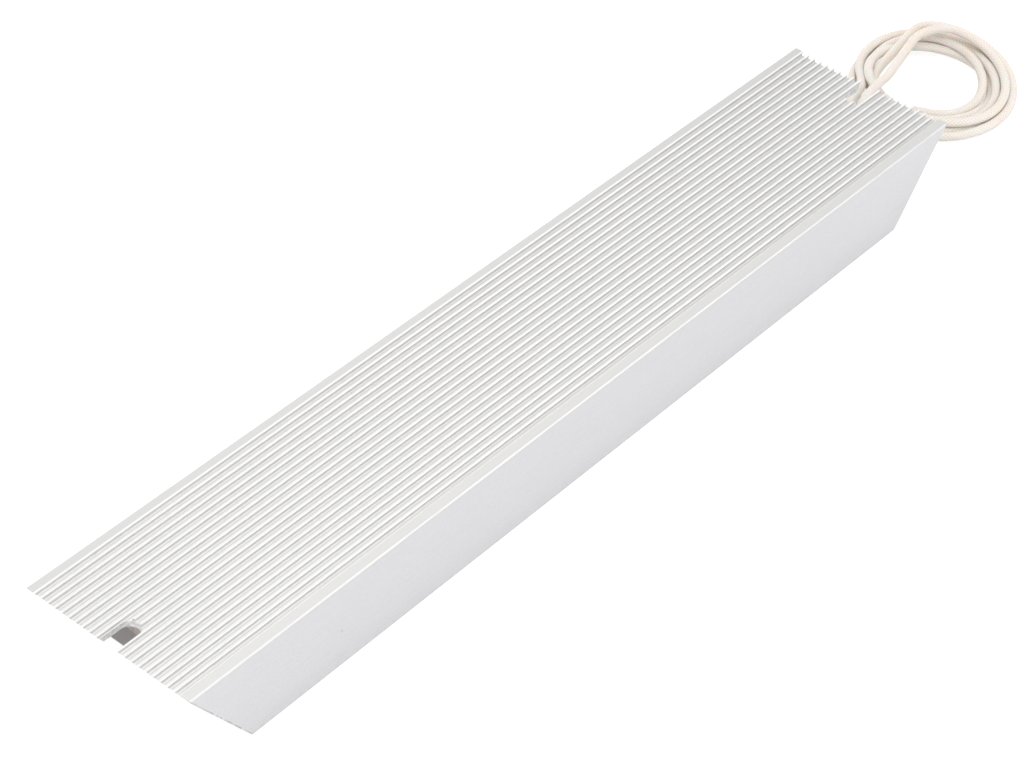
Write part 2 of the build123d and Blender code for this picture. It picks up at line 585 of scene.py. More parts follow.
@dataclass(frozen=True)
class Settling:
    """Leads that push apart until no stretch lies in another or below the surface.

    Lengths are in millimetres. Stretches of one lead that are nearer than own_reach radii along it don't
    push each other. A push leans further up or down by the length upward, so that crossing stretches pass.
    """

    radius: float
    held: int = 3
    rounds: int = 150
    samples_per_point: int = 8
    clearance: float = 0.06
    floor_clearance: float = 0.05
    own_reach: float = 8.0
    upward: float = 0.3
    pace: float = 0.9

    def weights(self, count: int) -> np.ndarray:
        """Weights of the control points of a clamped quadratic spline at even steps along it.

        Args:
            count: Control points.

        Returns:
            One row for each step.
        """
        spans = count - 2
        samples = self.samples_per_point * count
        weights = np.zeros((samples, count))
        for row, place in enumerate(np.linspace(0, spans, samples)):
            span = min(int(place), spans - 1)
            part = place - span
            start = 1.0 if span == 0 else 0.5
            end = 1.0 if span == spans - 1 else 0.5
            first = start * (1 - part) ** 2
            last = end * part**2
            weights[row, span : span + 3] = first, 1 - first - last, last
        return weights

    def pushes(self, lines: list[np.ndarray]) -> np.ndarray:
        """How far each sample is pushed by those that it lies in.

        Args:
            lines: Samples along each lead.

        Returns:
            One push for each sample, lead after lead.
        """
        owner = np.concatenate([np.full(len(line), index) for index, line in enumerate(lines)])
        runs = [np.r_[0, np.cumsum(np.linalg.norm(np.diff(line, axis=0), axis=1))] for line in lines]
        line, run = np.concatenate(lines), np.concatenate(runs)
        apart = line[:, None] - line[None]
        distance = np.linalg.norm(apart, axis=2) + TINY
        near = np.abs(run[:, None] - run[None]) < self.own_reach * self.radius
        own = (owner[:, None] == owner[None]) & near
        depth = np.where(own, 0, np.clip(2 * self.radius + self.clearance - distance, 0, None))
        apart[..., 2] += np.sign(apart[..., 2]) * self.upward * (depth > 0)
        ways = apart / np.linalg.norm(apart, axis=2, keepdims=True).clip(TINY)
        return (ways * depth[..., None]).sum(axis=1) / np.maximum((depth > 0).sum(axis=1), 1)[:, None]

    def settle(self, routes: list[np.ndarray]) -> list[np.ndarray]:
        """Move the leads' control points, apart from the held ones at each exit.

        Args:
            routes: Control points of each lead.

        Returns:
            The settled control points.
        """
        routes = [route.copy() for route in routes]
        weights = [self.weights(len(route)) for route in routes]
        shares = [rows.sum(axis=0)[:, None] for rows in weights]
        for _ in range(self.rounds):
            push = self.pushes([rows @ route for rows, route in zip(weights, routes)])
            start = 0
            for route, rows, share in zip(routes, weights, shares):
                moved = rows.T @ push[start : start + len(rows)] / share
                route[self.held :] += self.pace * moved[self.held :]
                route[self.held :, 2] = np.maximum(route[self.held :, 2], self.radius + self.floor_clearance)
                start += len(rows)
        return routes


@dataclass
class BraidTree(ShapeTree):
    """Geometry Nodes that sweep a braided sleeve along a curve. Lengths are in metres."""

    name: str = "braided_sleeve"
    sides: int = 20
    step: float = 0.0004
    yarn_lay: float = 0.0105
    yarns: int = 8
    relief: float = 0.00012
    mean_height: float = 0.6

    def __post_init__(self) -> None:
        """Curve to sleeve: resample, sweep, raise the crossing yarns and keep a UV map."""
        self.open(Float="Radius, Step, Yarn Lay, Relief", Int="Sides, Yarns", Material="Finish")
        given, spline = self.given, self.node("GeometryNodeSplineParameter").outputs
        curve, along = self.capture(self.stepped(), "Along", spline["Length"])
        points = self.plus(given["Sides"], 1)
        arc = {"Resolution": points, "Radius": given["Radius"], "Sweep Angle": FULL_TURN}
        ring, around = self.capture(self.result("GeometryNodeCurveArc", arc), "Around", spline["Factor"])
        turns = self.times(around, given["Yarns"])
        lay = self.math("DIVIDE", self.times(along, given["Yarns"]), given["Yarn Lay"])
        _, height = self.plait(self.plus(turns, lay), self.minus(turns, lay))
        raised = self.times(self.minus(height, self.mean_height), given["Relief"])
        place = self.result("ShaderNodeCombineXYZ", {"X": turns, "Y": lay})
        woven = {"Geometry": self.swept(curve, ring, capped=False), "Name": "braid", "Value": place}
        mapped = self.result("GeometryNodeStoreNamedAttribute", woven, data_type="FLOAT2", domain="CORNER")
        kept, raised = self.capture(mapped, "Raised", raised)
        merged = self.result("GeometryNodeMergeByDistance", {"Geometry": kept, "Distance": WELD})
        lift = {0: self.result("GeometryNodeInputNormal"), "Scale": raised}
        offset = self.result("ShaderNodeVectorMath", lift, operation="SCALE")
        self.close(self.result("GeometryNodeSetPosition", {"Geometry": merged, "Offset": offset}))


@dataclass
class StrandTree(ShapeTree):
    """Geometry Nodes that twist round strands about a curve and a core. Lengths are in metres."""

    name: str = "twisted_strands"
    step: float = 0.0004
    lay: float = 0.014
    outer_strands: int = 6
    radii_across: int = 6
    sides: int = 8
    spacing: float = 2.03

    def __post_init__(self) -> None:
        """Curve to strands: resample, twist, and sweep one ring for each strand."""
        self.open(Float="Strand Radius, Step, Lay", Int="Outer Strands, Sides", Material="Finish")
        given = self.given
        length = self.node("GeometryNodeSplineParameter").outputs["Length"]
        turn = self.times(self.math("DIVIDE", length, given["Lay"]), FULL_TURN)
        twisted = self.result("GeometryNodeSetCurveTilt", {"Curve": self.stepped(), "Tilt": turn})
        away = self.times(given["Strand Radius"], self.spacing)
        places = self.result("GeometryNodeMeshCircle", {"Vertices": given["Outer Strands"], "Radius": away})
        core = self.result("GeometryNodeMeshLine", {"Count": 1})
        points = self.node("GeometryNodeJoinGeometry")
        for part in (places, core):
            self.fill(points, {0: part})
        rings = {"Points": points.outputs[0], "Instance": self.ring(given["Strand Radius"])}
        instances = self.result("GeometryNodeInstanceOnPoints", rings)
        outline = self.result("GeometryNodeRealizeInstances", {"Geometry": instances})
        self.close(self.swept(twisted, outline))


@dataclass
class BareEnd:
    """The stripped, tinned end of one lead. Sizes are in millimetres."""

    side: Side
    route: list[Point]
    diameter: float = 1.7
    tuck: float = 1.5

    def build(self, strands: StrandTree, finish: bpy.types.Material, sleeve: list) -> bpy.types.Object:
        """Twist the strands from inside the sleeve to the end.

        Args:
            strands: The Geometry Nodes tree that twists.
            finish: The tinned copper.
            sleeve: The sleeve's centre line, in metres.

        Returns:
            The bare end, which stands for the plain one.
        """
        start, before = Vector(sleeve[-1]), Vector(sleeve[-3])
        heading = (start - before).normalized()
        first = start - heading * self.tuck * MM
        after = start + heading * 2 * self.tuck * MM
        points = [first, start, after] + [Vector(point) * MM for point in self.route]
        line = spline_object(f"bare_line_{self.side.label}", points)
        radius = self.diameter * MM / strands.radii_across
        mesh = strands.make(line, strand_radius=radius, finish=finish)
        end = new_object(f"bare_end_{self.side.label}", mesh)
        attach(end, BODY)
        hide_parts(f"lead_tip_{self.side.label}")
        report(end)
        return end


@dataclass
class Lead:
    """One braided lead: its route, its braid and its bare tinned end. Sizes are in millimetres."""

    side: Side
    route: list
    end: BareEnd
    diameter: float = 3.0
    control: np.ndarray = field(init=False)

    def __post_init__(self) -> None:
        """Line up the hand-set points and the coil's turns."""
        points: list[Point] = []
        for stretch in self.route:
            points.extend(stretch.points() if isinstance(stretch, LooseCoil) else stretch)
        self.control = np.array(points)

    def build(
        self,
        braid: BraidTree,
        finish: bpy.types.Material,
        strands: StrandTree,
        end_finish: bpy.types.Material,
    ) -> bpy.types.Object:
        """Args:
            braid: The Geometry Nodes tree that makes the sleeve.
            finish: The braid's material.
            strands: The Geometry Nodes tree that makes the bare end.
            end_finish: The bare end's material.

        Returns:
            The finished lead.
        """
        line = spline_object(f"lead_line_{self.side.label}", list(self.control * MM))
        path = [tuple(vertex.co) for vertex in evaluated_mesh(line).vertices]
        mesh = braid.make(line, radius=self.diameter * MM / 2, finish=finish)
        sleeve = new_object(f"lead_{self.side.label}", mesh)
        end = self.end.build(strands, end_finish, path)
        steps = zip(path, path[1:])
        length = sum((Vector(after) - Vector(start)).length for start, after in steps)
        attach(sleeve, BODY)
        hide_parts(f"lead_run_{self.side.label}", "lead_coil")
        report(sleeve)
        LOG.info("%s: %.0f mm long", sleeve.name, length / MM)
        return sleeve


# ------------------------------------------------------------------------------------------------ housing


@dataclass
class Housing:
    """The ribbed extrusion, its edges broken, its crests marked for rubbing and a painted highlight, and its
    ends sawn.

    Sizes are in millimetres and angles in degrees. A lean is the part of a face's normal along one axis: how
    squarely the face looks that way.
    """

    flat_within: float = 0.5
    edge_break: float = 0.06
    break_steps: int = 2
    roundness: float = 0.5
    sharpest_kept: float = 30.0
    ribbed_half_width: float = 26.2
    border_edge: float = 29.05
    crest_level: float = 29.75
    crest_lean: float = 0.6
    rim_drop: float = 0.25
    rim_lean: float = 0.05
    # Shares of rubbing and painted highlight on the border rims and on broken edges.
    rim_wear: float = 0.85
    edge_wear: float = 0.7
    cut_lean: float = 0.5
    upright_lean: float = 0.3
    square_lean: float = 0.9
    groove_level: float = 29.1
    groove_floor: float = 28.95
    flank_dullness: float = 0.5
    notch_reach: float = 3.3
    notch_start: float = 155.5
    notch_overrun: float = 0.2
    cavity_half_width: float = 27.0
    cavity_floor: float = 2.9
    cavity_ceiling: float = 27.1

    def build(self, node: bpy.types.Object, finish: bpy.types.Material) -> bpy.types.Object:
        """Make the finished shell from the plain one.

        Args:
            node: The frame's housing.
            finish: The aluminium, which reads the shell's attributes.

        Returns:
            The new shell, which stands for the node.
        """
        shape = bmesh.new()
        shape.from_mesh(node.data)
        bmesh.ops.remove_doubles(shape, verts=shape.verts, dist=WELD)
        flat = math.radians(self.flat_within)
        bmesh.ops.dissolve_limit(shape, angle_limit=flat, verts=shape.verts[:], edges=shape.edges[:])
        self._mark(shape, self._break_edges(shape))
        shell = shaped_object("housing_shell", shape, self.sharpest_kept)
        shell.modifiers.new("normals", "WEIGHTED_NORMAL").keep_sharp = True
        mesh = evaluated_mesh(shell)
        shell.modifiers.clear()
        shell.data = mesh
        dress(shell, finish)
        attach(shell, BODY)
        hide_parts("housing")
        report(shell)
        return shell

    def _break_edges(self, shape: bmesh.types.BMesh) -> set:
        """Round every sharp outward edge a little.

        Args:
            shape: The shell.

        Returns:
            The narrow new faces.
        """
        limit = math.radians(self.sharpest_kept)
        outward = [edge for edge in shape.edges if edge.is_manifold and edge.is_convex]
        made = bmesh.ops.bevel(
            shape,
            geom=[edge for edge in outward if edge.calc_face_angle(0) > limit],
            offset=self.edge_break * MM,
            segments=self.break_steps,
            profile=self.roundness,
            affect="EDGES",
            clamp_overlap=False,
        )
        return set(made["faces"])

    def _mark(self, shape: bmesh.types.BMesh, broken: set) -> None:
        """Write each face's rubbing and painted highlight, its saw and mill marks, and painted shade in the
        cavity and on groove flanks.

        Args:
            shape: The shell.
            broken: The faces of its broken edges.
        """
        wear, sawn, milled, dull, groove = map(shape.faces.layers.float.new, HOUSING_MARKS)
        for face in shape.faces:
            middle, normal = face.calc_center_median() / MM, face.normal
            across = abs(middle.y)
            ribbed = across < self.ribbed_half_width
            crest = normal.z > self.crest_lean and middle.z > self.crest_level and ribbed
            rim = middle.z > self.crest_level - self.rim_drop and normal.z > self.rim_lean
            rim = rim and across > self.border_edge
            edge = self.edge_wear if face in broken else 0.0
            face[wear] = 1.0 if crest else self.rim_wear if rim else edge
            cut = abs(normal.x) > self.cut_lean and abs(normal.z) > self.upright_lean
            notch = not cut and across < self.notch_reach and abs(middle.x) > self.notch_start
            notch = notch and middle.z > self.cavity_ceiling - self.notch_overrun
            notch = notch and abs(normal.z) < self.upright_lean
            face[sawn] = float(cut)
            face[milled] = float(notch)
            face[groove] = float(normal.z > self.square_lean and middle.z < self.groove_level and ribbed)
            # Faces inside the cavity take full painted shade, and the groove flanks a share of it.
            flank = abs(normal.y) > self.square_lean and self.groove_floor < middle.z and ribbed
            level = self.cavity_floor < middle.z < self.cavity_ceiling
            hidden = not cut and not notch and level and across < self.cavity_half_width
            face[dull] = 1.0 if hidden else self.flank_dullness if flank and not notch else 0.0


# ------------------------------------------------------------------------------------------------ cement


@dataclass
class CementSeal:
    """One mouth's plug of cement, pressed in by hand with a spatula.

    Sizes are in millimetres. A scale is how many lumps come on a millimetre. stroke_length and stroke_width
    are such scales along and across a stroke, in Y and Z. lump_kind and crumb_kind are the dimension,
    lacunarity and octaves of their noise.
    """

    end: End
    grid: float = 0.6
    unevenness: float = 0.4
    lump_scale: float = 0.16
    lump_kind: tuple[float, float, int] = (0.9, 2.1, 3)
    strokes: float = 0.3
    stroke_length: tuple[float, float] = (0.09, 0.05)
    stroke_width: tuple[float, float] = (-0.12, 0.85)
    crumbs: float = 0.09
    crumb_scale: float = 1.1
    crumb_kind: tuple[float, float, int] = (0.8, 2.0, 3)
    deepest: float = 0.5
    climb: float = 1.1
    climb_width: float = 1.9
    climb_change: float = 0.5
    climb_scale: float = 0.21
    collar: float = 1.5
    collar_width: float = 1.3
    sharpest: float = 60.0
    lump_seed: float = 7.3
    stroke_seed: float = 3.1
    lead_places: tuple = ()
    lead_radius: float = 1.5

    def relief(self, y: float, z: float, low: Vector, high: Vector) -> float:
        """How far the face stands out at one place.

        Args:
            y: Across the mouth.
            z: Up the mouth.
            low: Lowest corner of the plug.
            high: Highest corner.

        Returns:
            The height over the plain face.
        """
        place = Vector((y, z, self.lump_seed * self.end.value))
        lumps = noise.fractal(place * self.lump_scale, *self.lump_kind) * self.unevenness
        stroke = [y * across + z * up for across, up in (self.stroke_length, self.stroke_width)]
        smear = noise.noise(Vector((*stroke, self.stroke_seed * self.end.value))) * self.strokes
        crumbs = noise.fractal(place * self.crumb_scale, *self.crumb_kind) * self.crumbs
        wall = min(y - low.y, high.y - y, z - low.z, high.z - z)
        reach = self.climb_width * (1 + self.climb_change * noise.noise(place * self.climb_scale))
        rise = self.climb * math.exp(-max(wall, 0) / reach)
        for lead_y, lead_z in self.lead_places:
            away = max(math.hypot(y - lead_y, z - lead_z) - self.lead_radius, 0)
            rise += self.collar * math.exp(-away / self.collar_width)
        return max(lumps + smear + crumbs, -self.deepest) + rise

    def build(self, finish: bpy.types.Material) -> bpy.types.Object:
        """Make the plug as a closed mesh with an uneven face.

        Args:
            finish: The cement.

        Returns:
            The plug, which stands for the plain one.
        """
        node = f"cement_seal_{self.end.label}"
        low, high = (Vector(corner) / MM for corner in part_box(node))
        columns = round((high.y - low.y) / self.grid)
        rows = round((high.z - low.z) / self.grid)
        face, back = (high.x, low.x) if self.end is End.FAR else (low.x, high.x)
        shape = bmesh.new()
        front = []
        for row in range(rows + 1):
            z = low.z + (high.z - low.z) * row / rows
            line = []
            for column in range(columns + 1):
                y = low.y + (high.y - low.y) * column / columns
                x = face + self.end.value * self.relief(y, z, low, high)
                line.append(shape.verts.new(Vector((x, y, z)) * MM))
            front.append(line)
        for below, above in zip(front, front[1:]):
            for index in range(columns):
                shape.faces.new((below[index], below[index + 1], above[index + 1], above[index]))
        rim = front[0] + [line[-1] for line in front[1:]] + front[-1][-2::-1]
        rim += [line[0] for line in front[-2:0:-1]]
        foot = [shape.verts.new((back * MM, vert.co.y, vert.co.z)) for vert in rim]
        for index, vert in enumerate(rim):
            after = (index + 1) % len(rim)
            shape.faces.new((vert, foot[index], foot[after], rim[after]))
        shape.faces.new(foot)
        bmesh.ops.recalc_face_normals(shape, faces=shape.faces[:])
        plug = shaped_object(f"cement_plug_{self.end.label}", shape, self.sharpest)
        dress(plug, finish)
        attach(plug, BODY)
        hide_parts(node)
        report(plug)
        return plug


# ------------------------------------------------------------------------------------------------ windings


@dataclass
class WindingTree(ShapeTree):
    """Geometry Nodes that wind round wire on a cylinder along X. Lengths are in metres."""

    name: str = "wound_wire"
    points_per_turn: int = 24
    sides: int = 6

    def __post_init__(self) -> None:
        """Spiral to wire: lay the spiral along X and sweep a ring."""
        lengths = "Turns, Radius, Length, Wire Radius"
        self.open(Float=lengths, Vector="Start", Int="Points Per Turn, Sides", Material="Finish")
        given = self.given
        spiral = {
            "Resolution": given["Points Per Turn"],
            "Rotations": given["Turns"],
            "Start Radius": given["Radius"],
            "End Radius": given["Radius"],
            "Height": given["Length"],
        }
        upright = self.result("GeometryNodeCurveSpiral", spiral)
        laid = {"Geometry": upright, "Translation": given["Start"], "Rotation": (0, FULL_TURN / 4, 0)}
        self.close(self.swept(self.result("GeometryNodeTransform", laid), self.ring(given["Wire Radius"])))


@dataclass
class Winding:
    """Resistance wire on one former: as many turns as fit at its pitch. Sizes are in millimetres."""

    side: Side
    pitch: float = 2.0

    def build(self, tree: WindingTree, finish: bpy.types.Material) -> bpy.types.Object:
        """Wind the wire where the frame has a plain sleeve.

        Args:
            tree: The Geometry Nodes tree that winds.
            finish: The wire's material.

        Returns:
            The wire, which stands for the sleeve.
        """
        low, high = (Vector(corner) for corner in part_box(f"winding_{self.side.label}"))
        former_low, former_high = (Vector(corner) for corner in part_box(f"former_{self.side.label}"))
        wire = (high.z - low.z - former_high.z + former_low.z) / 4
        middle = (low + high) / 2
        length = high.x - low.x - 2 * wire
        mesh = tree.make(
            new_object("wire_seed", bpy.data.meshes.new("wire_seed")),
            turns=float(round(length / (self.pitch * MM))),
            radius=(high.z - low.z) / 2 - wire,
            length=length,
            wire_radius=wire,
            start=(low.x + wire, middle.y, middle.z),
            finish=finish,
        )
        coil = new_object(f"wire_{self.side.label}", mesh)
        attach(coil, BODY)
        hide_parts(f"winding_{self.side.label}")
        report(coil)
        return coil


# ------------------------------------------------------------------------------------------------ finishes


class Finish(ShaderTree):
    """A finish, which holds its sizes and shades and paints a material of its own.

    Scales are in cells per metre, and heights and depths of relief in metres.
    """

    name: str

    def __init__(self) -> None:
        """Start the material and paint it."""
        super().__init__(self.name)
        self.paint()

    def paint(self) -> None:
        """Lay on the colour, the gloss and the relief."""
        raise NotImplementedError


class Aluminium(Finish):
    """Extruded housing alloy: matt and finely pitted, bright where rubbed and painted with highlight and
    shade, lined where it is sawn.

    Places are in millimetres. The skin starts as the bare alloy, and each layer covers a part of it.
    """

    name: str = "matt_aluminium"
    flat: Point = (0.773, 0.768, 0.782)
    # Colour of rubbing on crests and edges, painted brighter as a highlight as well.
    rubbed_highlight: Point = (0.93, 0.927, 0.92)
    sawn: Point = (0.87, 0.872, 0.876)
    # A warm tint for the top faces: painted light, for warm light falling from above.
    upper: Point = (0.779, 0.782, 0.725)
    groove_dull: Point = (0.786, 0.776, 0.762)
    # The groove floors' lighter tones are painted light against the shade in the grooves.
    groove_plain: Point = (0.96, 0.947, 0.926)
    groove_bright: Point = (1.0, 0.99, 0.972)
    # A dark grey painted as shade on the left border, along the near cut and in the grooves.
    painted_shade: Point = (0.46, 0.452, 0.442)
    milled: Point = (0.87, 0.86, 0.86)
    # A grey painted as shade on the cavity's walls and the groove flanks.
    dull: Point = (0.70, 0.70, 0.705)
    pit: Point = (0.46, 0.44, 0.42)
    dark_tone: float = 0.955
    pale_tone: float = 1.04
    kerf_tone: float = 0.84
    torn_tone: float = 0.78
    metallic: float = 0.92
    roughness: float = 0.44
    matting: tuple[float, float] = (-0.06, 0.08)
    polish: float = 0.08
    cut_roughness: float = 0.3
    drawn_scale: float = 1900
    drawn_height: float = 0.000005
    speck_scale: float = 2600
    speck_height: float = 0.000022
    speck_share: float = 0.75
    scuff_scale: float = 160
    scuffing: tuple[float, float] = (0.75, 1.15)
    patch_scale: float = 900
    pit_scale: float = 90
    pit_reach: float = 0.045
    pit_rarity: float = 8
    pit_shade: float = 0.6
    pit_depth: float = 0.00005
    groove_pitch: float = 2.52
    length: float = 335.0
    # Place and width of the painted highlight line beside the last groove.
    bright_line: float = 26.4
    bright_line_width: float = 0.5
    long_edge: float = 28.8
    edge_fade: float = 0.75
    fade_change: tuple[float, float] = (-0.5, 0.5)
    # Where the painted warm light starts, and how much of it.
    upper_level: float = 29.3
    upper_share: float = 0.35
    left_border_start: float = 26.7
    left_border_dull: float = 0.17
    # How the painted shade in the grooves grows towards the far end, on the flanks and corners, and the
    # strip it spares.
    dirt_start: float = 0.36
    dirt: float = 0.33
    flank_dirt: float = 3
    swept_clean: float = 0.7
    corner_start: float = 0.785
    corner_dirt: float = 1.3
    near_cut: float = 145.0
    cut_slope: float = 0.75
    # Width and share of the painted shade along the near cut's burr.
    burr_width: float = 0.55
    burr_shade: float = 0.75
    saw_scale: float = 420
    saw_turn: float = 0.12
    saw_waver: float = 2.5
    saw_height: float = 0.00005
    chatter_scale: float = 900
    tear_height: float = 0.0002

    def paint(self) -> None:
        """Read what several layers share, then lay them on."""
        marks = [self.attribute(name) for name in HOUSING_MARKS]
        self.wear, self.at_saw, self.at_mill, self.at_wall, self.at_groove = marks
        self.x, self.y, self.z = self.split(self.place())
        self.drawn = self.noise(self.drawn_scale, stretch=(0.02, 1, 1))
        self.speck = self.noise(self.speck_scale, 2)
        self.patches = self.noise(self.patch_scale, 2, stretch=(0.1, 1, 1))
        self.along = self.math("DIVIDE", self.x, self.length * MM)
        self.outer = self.beyond(self.math("ABSOLUTE", self.y), self.long_edge)
        grooves = self.math("DIVIDE", self.y, self.groove_pitch * MM)
        self.phase = self.math("FRACT", self.plus(grooves, 0.5))
        self.draw()
        self.rub()
        self.wash_grooves()
        self.brighten_border()
        self.leave_burr()
        self.lodge_dirt()
        self.cut()
        self.set_surface()

    def beyond(self, value: Socket, limit: float) -> Socket:
        """1 where a coordinate is over a limit in millimetres, and 0 elsewhere."""
        return self.math("GREATER_THAN", value, limit * MM)

    def lay(self, share: Socket, color: Shade) -> None:
        """Cover a share of the skin with a colour."""
        self.skin = self.mix(share, self.skin, color)

    def draw(self) -> None:
        """The bare alloy, drawn out lengthwise, and a warm tint painted on the top faces as warm light from
        above.
        """
        shade = self.both(self.speck, self.drawn, self.speck_share)
        dark, pale = shaded(self.flat, self.dark_tone), shaded(self.flat, self.pale_tone)
        self.skin = self.ramp(shade, (0.34, dark), (0.66, pale))
        # Painted light: the top faces take the warm tint.
        upper = self.beyond(self.z, self.upper_level)
        self.lay(self.times(upper, self.upper_share), self.upper)

    def rub(self) -> None:
        """Crests and edges bright from rubbing and painted as a highlight, less so on the long edges towards
        the far end.
        """
        scuff = self.noise(self.scuff_scale, 4, stretch=(0.25, 1, 1))
        way = self.plus(self.along, 0.5)
        edge_highlight_fade = self.times(self.plus(way, self.span(self.patches, *self.fade_change)), self.outer)
        kept = self.minus(1, self.times(self.math("MAXIMUM", edge_highlight_fade, 0), self.edge_fade))
        # The shine is painted highlight as well as rubbing.
        self.shine = self.times(self.times(self.wear, self.span(scuff, *self.scuffing)), kept)
        self.lay(self.shine, self.rubbed_highlight)

    def wash_grooves(self) -> None:
        """The floor of each groove, painted lighter than the alloy as painted light: a dull strip beside a
        bright one.
        """
        plain, faint, bright = self.groove_plain, self.groove_dull, self.groove_bright
        strips = ((0.45, plain), (0.53, faint), (0.60, faint), (0.71, bright), (0.86, bright))
        # Painted light on the groove floors.
        self.lay(self.at_groove, self.ramp(self.phase, *strips))

    def brighten_border(self) -> None:
        """The border on the left lead's side: a painted highlight line beside the last groove, and painted
        shade on its flat.
        """
        aside = self.math("ABSOLUTE", self.minus(self.y, self.bright_line * MM))
        line = self.math("LESS_THAN", aside, self.bright_line_width / 2 * MM)
        on_top = self.minus(1, self.math("MAXIMUM", self.at_groove, self.at_wall))
        # Painted highlight along the line, then painted shade on the flat.
        self.lay(self.times(line, on_top), self.rubbed_highlight)
        flat = self.beyond(self.y, self.left_border_start)
        self.lay(self.times(flat, self.left_border_dull), self.painted_shade)

    def leave_burr(self) -> None:
        """Broken patches of painted shade along a burr where the near cut meets the long edges."""
        rise = self.times(self.z, self.cut_slope)
        from_cut = self.plus(self.plus(self.x, rise), self.near_cut * MM)
        burr = self.times(self.math("LESS_THAN", from_cut, self.burr_width * MM), self.outer)
        burr = self.times(burr, self.mask(self.patches, (0.4, 0), (0.6, 1)))
        # Painted shade: a dark line along the near cut.
        self.lay(self.times(burr, self.burr_shade), self.painted_shade)

    def lodge_dirt(self) -> None:
        """Painted shade in the grooves, more towards the far end: on the flanks and the corners, less
        between.
        """
        # Painted shade that deepens towards the far end.
        drift = self.times(self.plus(self.along, self.dirt_start), self.dirt)
        flanks = self.times(self.at_wall, self.flank_dirt)
        groove_shade = self.math("MINIMUM", self.plus(self.at_groove, flanks), 1)
        strip = self.mask(self.phase, (0.63, 0), (0.69, 1), (0.77, 1), (0.785, 0))
        swept = self.times(self.times(self.at_groove, strip), self.swept_clean)
        corner = self.times(self.at_groove, self.math("GREATER_THAN", self.phase, self.corner_start))
        groove_shade = self.plus(self.minus(groove_shade, swept), self.times(corner, self.corner_dirt))
        self.lay(self.times(self.math("MAXIMUM", drift, 0), groove_shade), self.painted_shade)

    def cut(self) -> None:
        """Saw lines on both slanted ends, torn metal in the notches, and painted shade on the cavity's walls
        and the groove flanks.
        """
        inputs = {
            "Vector": self.place((0.1, 0.25, 1), (self.saw_turn, 0, 0)),
            "Scale": self.saw_scale,
            "Distortion": self.saw_waver,
            "Detail": 3.0,
        }
        self.lines = self.node("ShaderNodeTexWave", inputs, bands_direction="Z").outputs["Fac"]
        self.chatter = self.noise(self.chatter_scale, 4)
        kerf = self.ramp(self.lines, (0.2, shaded(self.sawn, self.kerf_tone)), (0.75, self.sawn))
        torn = self.ramp(self.chatter, (0.36, shaded(self.milled, self.torn_tone)), (0.62, self.milled))
        self.lay(self.at_saw, kerf)
        self.lay(self.at_mill, torn)
        # Painted shade on the cavity's walls and the groove flanks.
        self.lay(self.at_wall, self.dull)

    def set_surface(self) -> None:
        """Pits, gloss and relief over the finished skin."""
        pits = self.holes(self.pit_scale, self.pit_rarity, self.pit_reach)
        self.lay(self.times(pits, self.pit_shade), self.pit)
        matt = self.span(self.speck, *[self.roughness + change for change in self.matting])
        matt = self.minus(matt, self.times(self.shine, self.polish))
        torn = self.times(self.plus(self.at_mill, self.at_wall), self.cut_roughness)
        rough = self.plus(matt, torn)
        self.drive({"Base Color": self.skin, "Metallic": self.metallic, "Roughness": rough})
        self.bump(
            (self.drawn, self.drawn_height),
            (self.speck, self.speck_height),
            (self.times(self.lines, self.at_saw), self.saw_height),
            (self.times(pits, -1.0), self.pit_depth),
            (self.times(self.chatter, self.at_mill), self.tear_height),
        )


class GlassBraid(Finish):
    """Varnished glass-fibre braid: pale cream yarns with painted shade in the gaps, stained a little towards
    brown.
    """

    name: str = "glass_braid"
    yarn: Point = (0.905, 0.862, 0.812)
    warm: Point = (0.915, 0.832, 0.742)
    # A dusky brown painted as shade where the yarns dip between crossings.
    gap: Point = (0.66, 0.56, 0.455)
    roughness: float = 0.55
    sheen: float = 0.2
    glow: float = 0.25
    glow_depth: float = 0.001
    threads: float = 6
    thread_height: float = 0.00002
    fuzz_scale: float = 6000
    fuzz_share: float = 0.25
    fuzz_height: float = 0.00004
    stain_scale: float = 70

    def paint(self) -> None:
        """Crossing yarns of fine threads, pale on the crowns and painted with shade between."""
        x, y, _ = self.split(self.result("ShaderNodeUVMap", uv_map="braid"))
        right, left = self.plus(x, y), self.minus(x, y)
        over, height = self.plait(right, left)
        lower, upper = (self.times(way, self.threads * math.pi) for way in (right, left))
        fibre = self.result("ShaderNodeMix", {"Factor": over, "A": lower, "B": upper})
        thread = self.math("ABSOLUTE", self.math("SINE", fibre))
        stain = self.noise(self.stain_scale)
        fuzz = self.noise(self.fuzz_scale, 2)
        yarn = self.mix(self.mask(stain, (0.42, 0), (0.68, 1)), self.yarn, self.warm)
        shade = self.plus(height, self.times(self.minus(fuzz, 0.5), self.fuzz_share))
        # Painted shade where the weave is low.
        color = self.mix(self.mask(shade, (0.06, 0), (0.4, 1)), self.gap, yarn)
        self.drive({"Base Color": color, "Roughness": self.roughness, "Sheen Weight": self.sheen})
        self.drive({"Subsurface Weight": self.glow, "Subsurface Scale": self.glow_depth})
        self.bump((thread, self.thread_height), (fuzz, self.fuzz_height))


